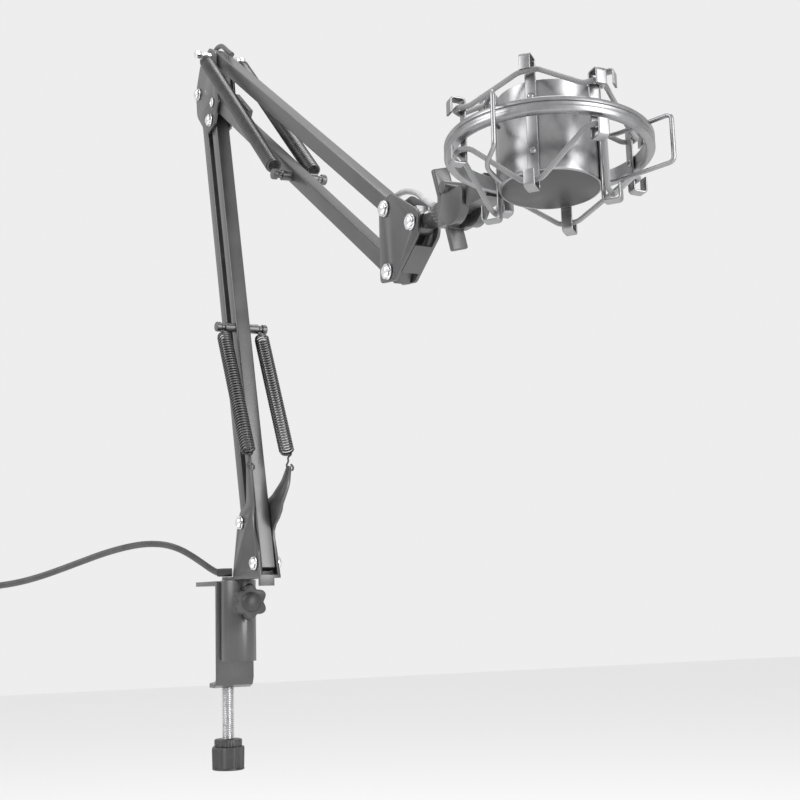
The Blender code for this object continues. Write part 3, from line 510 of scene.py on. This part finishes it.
def cap_nut(side):
    """A domed nut, and its washer, on one end of a bolt along Z."""
    hexagon = [(2.0, 0.9), (4.7, 0.9), (5.0, 1.2), (5.0, 2.9), (4.75, 3.2)]
    dome = [(3.9 * math.cos(math.radians(t)), 3.2 + 2.6 * math.sin(math.radians(t)))
            for t in range(0, 85, 12)]

    def six_sided(radius, height, turn):
        if height < 1.15 or height > 3.0 or radius < 4.5:
            return radius
        step = (turn % (math.pi / 3)) - math.pi / 6
        return min(radius, 4.35 / math.cos(step))

    nut = turned("nut", [*hexagon, *dome, (0, 5.8)][::-1] + [(0, 0.9)], 48, six_sided)
    washer = turned("washer", [(0, 0.9), (4.9, 0.9), (5.1, 0.7), (5.1, 0.2), (4.9, 0.0), (0, 0)], 40)
    nut.transform(Matrix.Scale(0.72, 4, (0, 0, 1)))
    both = merged("cap_nut", nut, washer)
    if side < 0:
        both.transform(Matrix.Rotation(math.pi, 4, "X"))
    return both


def make_bolt(node, centre, body):
    shank = [(0, BOLT_REACH), (2.5, BOLT_REACH), (2.5, -BOLT_REACH), (0, -BOLT_REACH)]
    parts = [turned("shank", shank, 24)]
    for side in (-1, 1):
        nut = cap_nut(side)
        nut.transform(Matrix.Translation((0, 0, side * BOLT_REACH * MM)))
        parts.append(nut)
    turn = Matrix.Translation(centre) @ Matrix.Rotation(-math.pi / 2, 4, "X")
    piece(f"{node}_nuts", merged(node, *parts), CHROME, body, node, matrix=turn)


def make_spring(node, top, bottom, y, bodies, from_top, from_bottom):
    """A close-wound tension spring with a hook at each end."""
    top, bottom = Vector((top.x, y, top.z)), Vector((bottom.x, y, bottom.z))
    along = (top - bottom).normalized()
    across = Vector((0, 1, 0))
    other = along.cross(across)
    length = (top - bottom).length / MM
    low, high = from_bottom, length - from_top
    radius, wire, pitch = 5.1, 0.72, 2.3
    turns = round((high - low) / pitch)

    def at(out, angle, height):
        flat = across * math.cos(angle) + other * math.sin(angle)
        return bottom + (flat * out + along * height) * MM

    bottom_hook = curve_through([at(1.9, 0.6, 3.8), at(2.6, 0.2, 1.0), at(0.9, 0, -2.2), at(-2.2, 0, -0.8),
                                 at(-2.6, 0, 2.2), at(-0.6, 0, 5.6), at(0, 0, low - 4),
                                 at(2.6, 0, low - 1.6)], 0.9 * MM)
    steps = 18
    coil = []
    for step in range(turns * steps + 1):
        angle = math.tau * step / steps
        height = low + (high - low) * step / (turns * steps)
        ease_in = min(1.0, (step + 4) / steps, (turns * steps - step + 4) / steps)
        coil.append(at(radius * (0.55 + 0.45 * ease_in), angle, height))
    last = math.tau * turns
    top_hook = curve_through([at(2.6, last, high + 1.6), at(0, 0, high + 3.6), at(-0.8, 0, length - 5.4),
                              at(-3.1, 0, length - 2), at(-2.4, 0, length + 1.9), at(0.4, 0, length + 3.1),
                              at(2.9, 0, length + 1.3), at(2.6, 0, length - 2.2)], 0.9 * MM)
    mesh = tube(node, [*bottom_hook, *coil, *top_hook], wire * MM, 8)
    piece(f"{node}_coil", mesh, SPRING, None, node, blend=(*bodies, bottom, top))


def make_crossbar(node, centre, body):
    side = [(0, 21), (3.3, 21), (3.85, 20.4), (3.85, 17.4), (2.7, 16.7), (2.5, 15.5), (2.7, 14.3),
            (3.85, 13.6), (3.6, 9), (3.5, 5.4)]
    profile = side + [(r, -z) for r, z in reversed(side)]
    turn = Matrix.Translation(centre) @ Matrix.Rotation(-math.pi / 2, 4, "X")
    piece(f"{node}_turned", turned(node, profile, 40), STEEL, body, node, matrix=turn)


def make_arm():
    make_bar("lower_rear_bar", BASE_REAR, LOWER_ALONG, LOWER_LENGTH, 4, 3.5, "lower_rear_bar")
    make_bar("lower_front_bar", BASE_FRONT, LOWER_ALONG, LOWER_LENGTH, 5, 3.5, "lower_front_bar")
    make_bar("upper_top_bar", ELBOW_TOP, UPPER_ALONG, UPPER_LENGTH, 3.5, 4, "upper_top_bar")
    make_bar("upper_lower_bar", ELBOW_MIDDLE, UPPER_ALONG, UPPER_LENGTH, 3.5, 6, "upper_lower_bar")
    lower_point = BASE_FRONT + LOWER_ALONG * CROSSBAR_AT
    upper_point = ELBOW_MIDDLE + UPPER_ALONG * CROSSBAR_AT
    make_crossbar("lower_crossbar", lower_point, "lower_front_bar")
    make_crossbar("upper_crossbar", upper_point, "upper_lower_bar")
    for side, y in (("near", -SPRING_Y), ("far", SPRING_Y)):
        make_spring(f"lower_spring_{side}", lower_point, LOWER_ANCHOR, y, ("base", "lower_front_bar"), 7, 13)
        make_spring(f"upper_spring_{side}", upper_point, ELBOW_TOP, y, ("elbow", "upper_lower_bar"), 12, 11)
    bolts = (("base_rear_bolt", BASE_REAR, "base"), ("base_front_bolt", BASE_FRONT, "base"),
             ("elbow_rear_bolt", ELBOW_REAR, "elbow"), ("elbow_front_bolt", ELBOW_FRONT, "elbow"),
             ("head_top_bolt", HEAD_TOP, "head"), ("head_bottom_bolt", HEAD_LOW, "head"),
             ("head_front_bolt", TILT_AXIS, "head"))
    for node, centre, body in bolts:
        make_bolt(node, centre, body)


make_arm()


# Clamp

def make_clamp_screw():
    """The spindle, with its thread cut in the radius, and its fluted knob."""
    top, bottom = -66, -117.3
    thread_middle, thread_depth = 4.46, 0.42
    rows = int((top - bottom) / (SCREW_PITCH / 8))
    profile = [(0, top), (3.9, top)]
    profile += [(4.6, top - 0.6 - (top - 0.6 - bottom) * row / rows) for row in range(rows + 1)]
    profile.append((0, bottom))

    def thread(radius, height, turn):
        if radius < 4:
            return radius
        return thread_middle + thread_depth * math.cos(math.tau * height / SCREW_PITCH - turn)

    spindle = turned("clamp_spindle", profile, 32, thread, 60)
    piece("clamp_spindle_thread", spindle, ZINC, "clamp_screw", "clamp_spindle")

    def flutes(radius, height, turn):
        if height > -123.0:
            on_collar = radius > 10 and height < -118.2
            return radius - 0.35 * max(0.0, math.cos(24 * turn)) if on_collar else radius
        if radius < 11 or height < -139.4:
            return radius
        wave = abs(math.cos(4 * turn)) ** 3
        return radius + 1.5 * wave

    profile = [(0, -117.5), (9.6, -117.5), (10.4, -117.8), (10.7, -118.4), (10.7, -122.8), (10.2, -123.3),
               (11.2, -123.3), (11.6, -123.8), (11.8, -125), (11.7, -130), (11.5, -138.6), (11.5, -139.2),
               (12.4, -139.5), (12.5, -140.2), (11.9, -140.8), (8, -140.8), (7.4, -140.3), (0, -140.3)]
    knob = turned("clamp_knob", profile, 128, flutes)
    piece("clamp_knob_fluted", knob, PLASTIC, "clamp_screw", "clamp_knob")


def make_lock_knob():
    """A six-lobed star knob with a domed middle."""
    def lobes(radius, height, turn):
        if radius < 8.9:
            return radius
        wave = 0.5 + 0.5 * math.cos(6 * turn)
        return radius * (0.86 + 0.25 * wave ** 0.8)

    profile = [(0, 30.4), (2.5, 30.2), (5, 29.5), (6.6, 28.4), (7.4, 27.2), (8.2, 26.9), (10.2, 26.9),
               (11.6, 26.6), (12.4, 25.6), (12.8, 24), (12.6, 22), (12, 20.8), (10.8, 20.2), (9, 20.1),
               (5, 20), (4.7, 19.4), (4.5, 17), (2.6, 17), (2.6, 7.5), (0, 7.5)]
    turn = Matrix.Translation(LOCK_AXIS) @ Matrix.Rotation(math.pi / 2, 4, "Y")
    piece("lock_knob_star", turned("lock_knob", profile, 144, lobes), PLASTIC, "lock_knob", "lock_knob",
          matrix=turn)


make_clamp_screw()
make_lock_knob()


# Shock mount

def ring_local(*values):
    return RING_FRAME @ mm(*values)


def make_ring():
    inner, mid = RING_RADIUS - 5, -2
    profile = [(inner, 1.4), (inner + 0.5, 1.9), (inner + 1.1, 2), (RING_RADIUS - 1.2, 2),
               (RING_RADIUS - 0.4, 1.7), (RING_RADIUS, 1.1),
               (RING_RADIUS, mid + 1.5), (RING_RADIUS - 0.8, mid + 1.1),
               (RING_RADIUS - 1.1, mid), (RING_RADIUS - 0.8, mid - 1.1), (RING_RADIUS, mid - 1.5),
               (RING_RADIUS, -5.1), (RING_RADIUS - 0.4, -5.7), (RING_RADIUS - 1.2, -6), (inner + 1.1, -6),
               (inner + 0.5, -5.9), (inner, -5.4), (inner, 1.4)]
    mesh = turned("ring", profile, 192)
    piece("ring_grooved", mesh, NICKEL, "mount_ring", "ring", matrix=RING_FRAME)


def make_sleeve():
    outer, inner = SLEEVE_RADIUS, SLEEVE_RADIUS - 1.2
    profile = [(inner, 24.8), (inner + 0.3, 25), (outer - 0.3, 25), (outer, 24.7), (outer, 10.4),
               (outer - 0.12, 10.2), (outer - 0.12, 9.9), (outer, 9.7),
               (outer, -22.8), (outer - 0.2, -23.5), (outer - 0.6, -23.9),
               (outer - 1, -24), (25.3, -24), (25.2, -23.7), (0, -23.7), (0, -22.5), (inner - 1, -22.5),
               (inner, -21.6), (inner, 24.8)]
    piece("sleeve_cup", turned("sleeve", profile, 160), NICKEL, "cage", "sleeve", matrix=RING_FRAME)
    pad = turned("pad", [(0, -23.6), (25.1, -23.6), (25.1, -23.9), (24.9, -24), (0, -24)], 96)
    piece("sleeve_pad", pad, PLASTIC, "cage", matrix=RING_FRAME)


def hook_profile(inner_r, low, high, depth):
    """A strip's centre line, with a square hook at each end, as radius and height."""
    lip, outer_r = 8.5, inner_r + depth
    knots = [(outer_r, 0, low + lip), (outer_r, 0, low), (inner_r, 0, low), (inner_r, 0, high),
             (outer_r, 0, high), (outer_r, 0, high - lip)]
    return [(point.x, point.z) for point in fillet(knots, 1.9, 8)]


def strip_mesh(profile):
    """A flat strip with rounded edges, bent along a radius and height profile."""
    half, edge = STRIP_WIDTH / 2, STRIP_THICKNESS / 2
    section = [(-half + edge * (1 - math.cos(math.radians(t))), edge * math.sin(math.radians(t)))
               for t in range(0, 91, 30)]
    section += [(-x, z) for x, z in reversed(section)]
    section += [(x, -z) for x, z in reversed(section[1:-1])]
    bm = bmesh.new()
    rings = []
    for index, (radius, height) in enumerate(profile):
        ahead = profile[min(index + 1, len(profile) - 1)]
        behind = profile[max(index - 1, 0)]
        along = Vector((ahead[0] - behind[0], ahead[1] - behind[1])).normalized()
        out = Vector((along.y, -along.x))
        rings.append([bm.verts.new(mm(radius + out.x * lift, across, height + out.y * lift))
                      for across, lift in section])
    count = len(section)
    for first, second in zip(rings, rings[1:]):
        for step in range(count):
            after = (step + 1) % count
            bm.faces.new((first[step], first[after], second[after], second[step]))
    bm.faces.new(rings[0])
    bm.faces.new(rings[-1])
    return finish_mesh(bm, "strip", 50)


def rivet_mesh(radius, height, way):
    profile = [(0, 1.5), (0.8, 1.4), (1.5, 1.0), (1.95, 0.3), (2.0, 0), (0, 0)]
    mesh = turned("rivet", profile, 24)
    mesh.transform(Matrix.Translation(mm(radius, 0, height)) @ Matrix.Rotation(way * math.pi / 2, 4, "Y"))
    return mesh


def make_strips():
    strip_r = SLEEVE_RADIUS + 1.0
    for index in range(4):
        angle = Matrix.Rotation(math.radians(STRIP_A_ANGLE + 90 * index), 4, "Z")
        inner = merged("inner_strip", strip_mesh(hook_profile(strip_r, -35.9, 35.4, 8.8)),
                       rivet_mesh(strip_r + 0.55, -14, 1), rivet_mesh(strip_r + 0.55, 15.5, 1))
        piece(f"inner_hook_strip_{index + 1}", inner, NICKEL, "cage", f"inner_strip_{index + 1}",
              matrix=RING_FRAME @ angle)
        angle = Matrix.Rotation(math.radians(STRIP_A_ANGLE + 45 + 90 * index), 4, "Z")
        outer = merged("outer_strip", strip_mesh(hook_profile(OUTER_STRIP_R, -18, 17.5, 7.5)),
                       rivet_mesh(OUTER_STRIP_R - 0.55, -2, -1))
        piece(f"outer_hook_strip_{index + 1}", outer, NICKEL, "mount_ring", f"outer_strip_{index + 1}",
              matrix=RING_FRAME @ angle)


def make_elastic(name, node, inner_z, outer_z):
    """One cord laced over the hooks: each span is a piece that stretches from the ring to the cup."""
    side = STRIP_WIDTH / 2 + ELASTIC_RADIUS + 0.6
    for index in range(4):
        here = math.radians(STRIP_A_ANGLE + 90 * index)
        for way in (-1, 1):
            there = here + way * math.pi / 4
            turn_in, turn_out = Matrix.Rotation(here, 3, "Z"), Matrix.Rotation(there, 3, "Z")
            inner_r, outer_r = SLEEVE_RADIUS + 4.6, OUTER_STRIP_R + 3.6
            knots = [turn_in @ Vector((inner_r, 0, inner_z)),
                     turn_in @ Vector((inner_r, way * side, inner_z)),
                     turn_out @ Vector((OUTER_STRIP_R - 0.8, -way * side, outer_z)),
                     turn_out @ Vector((outer_r, -way * 2.2, outer_z)),
                     turn_out @ Vector((outer_r, 0, outer_z))]
            path = [ring_local(*knot) for knot in fillet(knots, 3)]
            mesh = tube(name, path, ELASTIC_RADIUS * MM, 10)
            number = 2 * index + (1 if way < 0 else 2)
            span = piece(f"{name}_{number}", mesh, ELASTIC, None,
                         blend=("mount_ring", "cage", path[-10], path[9]))
            if number == 1:
                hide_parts(node)


def make_handles():
    high = 5.5
    routes = {"right": (-20.2, [(13.5, 26.2), (17, 29.5), (24, 32.5), (49, 41.5)]),
              "left": (-24.3, [(-1.5, -29.0), (2, -34), (9, -42.5), (16, -47), (33, -53)])}
    for side, (low, plan) in routes.items():
        knots = [ring_local(x, y, high) for x, y in plan] + [ring_local(x, y, low) for x, y in reversed(plan)]
        mesh = tube(f"squeeze_wire_{side}", fillet(knots, 3.2 * MM), HANDLE_WIRE_RADIUS * MM, 16)
        piece(f"squeeze_wire_{side}", mesh, NICKEL, f"squeeze_{side}", f"squeeze_handle_{side}")


make_ring()
make_sleeve()
make_strips()
make_elastic("elastic_top_span", "elastic_top", 28.4, 12.2)
make_elastic("elastic_bottom_span", "elastic_bottom", -30.8, -10.8)
make_handles()


# Rod and held cables

def make_rod():
    """The rod with its ribbed collar and stud, its eye on the tilt bolt, and a plated nut beside the eye."""
    end, stud_end = 30.2, 37.2

    def ribs(radius, height, turn):
        if radius > 7.0 and height > end - 8:
            return radius - 0.6 * (0.5 + 0.5 * math.cos(22 * turn)) ** 2
        return radius

    profile = [(0, stud_end), (2.6, stud_end), (3, stud_end - 0.4), (3, end), (6.2, end), (7.1, end - 0.4),
               (7.4, end - 1), (7.4, end - 7), (7.1, end - 7.7), (6.4, end - 8.4), (5.8, end - 9.4),
               (5.8, 10.6), (5.3, 9.4), (4.6, 8.8), (0, 8.6)]
    here = Matrix.Translation(TILT_AXIS) @ Matrix.Rotation(math.pi / 2, 4, "Y")
    piece("mic_rod_turned", turned("mic_rod", profile, 132, ribs), STEEL, "mic_rod", "mic_rod", matrix=here)
    rim = [(0, 5), (5.6, 5), (6.6, 4.6), (7, 3.6), (7, -3.6), (6.6, -4.6), (5.6, -5), (0, -5)]
    eye = turned("rod_eye", rim, 48)
    eye.transform(Matrix.Rotation(math.pi / 2, 4, "X"))
    shank = rounded_box("shank", (-4.6, -4.4, 0), (4.6, 4.4, 12), 1.2)
    piece("mic_rod_eye", merged("rod_eye", eye, shank), STEEL, "mic_rod", matrix=here)
    flats = [(0, 4.4), (4.4, 4.4), (4.9, 4.0), (4.9, -4.0), (4.4, -4.4), (0, -4.4)]
    nut = turned("nut", flats, 6, angle=20)
    nut.transform(Matrix.Rotation(math.pi / 2, 4, "X"))
    piece("mic_rod_nut", nut, CHROME, "mic_rod", matrix=Matrix.Translation(TILT_AXIS + mm(-2.5, 0, 6.6)))


def make_held_cable(name, node, knots, bodies, material):
    path = curve_through([mm(*knot) for knot in knots], 1.6 * MM)
    mesh = tube(name, path, 2 * MM, 16)
    piece(name, mesh, material, None, node, blend=(*bodies, path[0], path[-1]))


make_rod()
make_held_cable("elbow_cable_loop", "elbow_cable",
                [(-36, 3, 430), (-33.5, 2.6, 441), (-25.5, 2.5, 449), (-13.5, 2.5, 448.2), (-5, 2.5, 443.4),
                 (0.6, 2.5, 439.4), (12.1, 2.5, 431.8)],
                ("elbow", "upper_top_bar"), JACKET)
# The head cable loop wears the lighter jacket, whose pale grey is painted reflection.
make_held_cable("head_cable_loop", "head_cable",
                [(282, 8.6, 240), (290, 8.8, 241.6), (299, 8.8, 241), (309, 8.6, 238.2), (318, 7.5, 234.5),
                 (327, 5, 229.9), (337, 3.2, 224.4), (348, 2.2, 218.8)],
                ("head", "mic_rod"), PAINTED_REFLECTION_JACKET)


# CAD pieces that stay, with softened edges

KEPT = {
    STEEL: ["clamp_bracket", "clamp_tube", "base_bracket", "elbow_plate_near", "elbow_plate_far",
            "head_plate_near", "head_plate_far", "swivel_body", "t_handle", "ring_block"],
    CHROME: ["elbow_pin", "elbow_middle_bolt"],
    ZINC: ["clamp_pad", "base_post", "cord_plug"],
    PLASTIC: ["elbow_knob"],
}


def dress_kept_nodes():
    for material, names in KEPT.items():
        for name in names:
            node = frame["nodes"][name]
            node.data.materials.clear()
            node.data.materials.append(material)
            node.data.shade_smooth()
            weld = node.modifiers.new("weld", "WELD")
            weld.merge_threshold = 0.00001
            soften = node.modifiers.new("soften", "BEVEL")
            soften.width = 0.35 * MM
            soften.segments = 2
            soften.limit_method = "ANGLE"
            soften.angle_limit = math.radians(32)
            soften.harden_normals = True


dress_kept_nodes()


# Floor and light

def add_floor():
    bm = bmesh.new()
    bmesh.ops.create_grid(bm, x_segments=1, y_segments=1, size=6)
    mesh = bpy.data.meshes.new("floor")
    bm.to_mesh(mesh)
    bm.free()
    floor = bpy.data.objects.new("floor", mesh)
    floor.location.z = FLOOR_Z
    bpy.context.scene.collection.objects.link(floor)
    material = new_material("floor", (0.9, 0.9, 0.9), 0.9, 0.0)[0]
    mesh.materials.append(material)


def add_area(name, place, target, size, power):
    data = bpy.data.lights.new(name, "AREA")
    data.shape = "RECTANGLE"
    data.size, data.size_y = size
    data.energy = power
    light = bpy.data.objects.new(name, data)
    light.location = place
    light.rotation_euler = (Vector(target) - Vector(place)).to_track_quat("-Z", "Y").to_euler()
    bpy.context.scene.collection.objects.link(light)


def add_world():
    world = bpy.data.worlds.new("studio")
    bpy.context.scene.world = world
    world.use_nodes = True
    background = world.node_tree.nodes["Background"]
    background.inputs["Color"].default_value = (1, 1, 1, 1)
    background.inputs["Strength"].default_value = WORLD_STRENGTH


add_floor()
add_world()
bpy.context.scene.view_settings.view_transform = "Standard"
add_area("key", (0.1, -1.9, 1.2), (0.2, 0, 0.2), (1.3, 1.3), 24)
add_area("front", (2.0, 0.55, 0.5), (0.1, 0, 0.15), (0.9, 1.6), 30)
add_area("top", (0.2, 0.3, 2.2), (0.2, 0, 0.2), (1.2, 0.9), 16)
